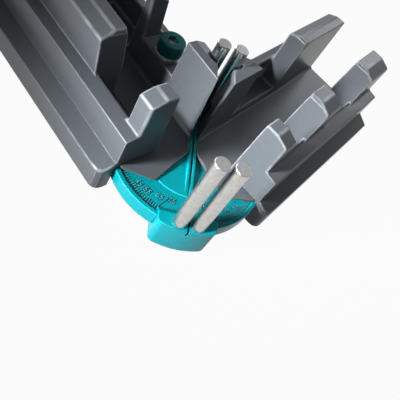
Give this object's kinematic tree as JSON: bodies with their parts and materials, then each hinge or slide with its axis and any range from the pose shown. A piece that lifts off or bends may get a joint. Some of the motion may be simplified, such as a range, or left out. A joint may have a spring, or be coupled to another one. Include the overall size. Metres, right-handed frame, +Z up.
{
  "type": "mitre box",
  "caption": "Mitre box with a round scale base, paired steel saw-guide pins, geared channel arms that swing to set the mitre angle, and a clamp knob that locks them.",
  "frame": {"origin": "pivot axis of the two arms, on the plane of the bench", "axes": "+Z up along the pivot axis, +Y back along the saw line away from the nose, +X to the right arm"},
  "size_m": [0.3386, 0.2292, 0.093],
  "materials": {
    "base_plastic": "satin blue-green moulding",
    "arm_plastic": "satin anthracite moulding",
    "pin_steel": "ground bright steel",
    "inner_steel": "plain steel",
    "lock_steel": "zinc-plated steel",
    "gear_plastic": "natural moulded gear",
    "nut_plastic": "pale grey",
    "knob_plastic": "satin dark blue-green",
    "foot_rubber": "matt"
  },
  "bodies": {
    "base": {"base_tray": "base_plastic", "base_deck": "base_plastic", "front_pins": "pin_steel", "rear_pins": "pin_steel", "pivot_post": "inner_steel", "deck_screws": "inner_steel", "base_feet": "foot_rubber", "pinion_axles": "inner_steel"},
    "left": {"left_arm": "arm_plastic", "left_hub": "inner_steel", "left_hub_screws": "inner_steel", "left_glides": "foot_rubber", "lock_washer": "lock_steel", "lock_bolt": "lock_steel"},
    "right": {"right_arm": "arm_plastic", "right_hub": "inner_steel", "right_hub_screws": "inner_steel", "right_glides": "foot_rubber"},
    "pinion_l": {"pinion_left": "gear_plastic"},
    "pinion_r": {"pinion_right": "gear_plastic"},
    "knob": {"lock_nut": "nut_plastic", "lock_knob": "knob_plastic"}
  },
  "joints": [
    {"name": "left_swing", "type": "hinge", "parent": "base", "child": "left", "pos_m": [0, 0, 0], "axis": [0, 0, 1], "range_deg": [0, 36]},
    {"name": "right_swing", "type": "hinge", "parent": "base", "child": "right", "pos_m": [0, 0, 0], "axis": [0, 0, 1], "range_deg": [-36, 0]},
    {"name": "pinion_left_spin", "type": "hinge", "parent": "base", "child": "pinion_l", "pos_m": [-0.014, -0.02425, 0], "axis": [0, 0, 1], "range_deg": [-36, 0]},
    {"name": "pinion_right_spin", "type": "hinge", "parent": "base", "child": "pinion_r", "pos_m": [0.014, -0.02425, 0], "axis": [0, 0, 1], "range_deg": [0, 36]},
    {"name": "knob_turn", "type": "hinge", "parent": "left", "child": "knob", "pos_m": [-0.03306, 0.06389, 0], "axis": [0, 0, 1], "range_deg": [0, 360]}
  ],
  "couplings": [
    {"joint": "right_swing", "follows": "left_swing", "ratio": -1},
    {"joint": "pinion_left_spin", "follows": "left_swing", "ratio": -1},
    {"joint": "pinion_right_spin", "follows": "left_swing", "ratio": 1}
  ]
}
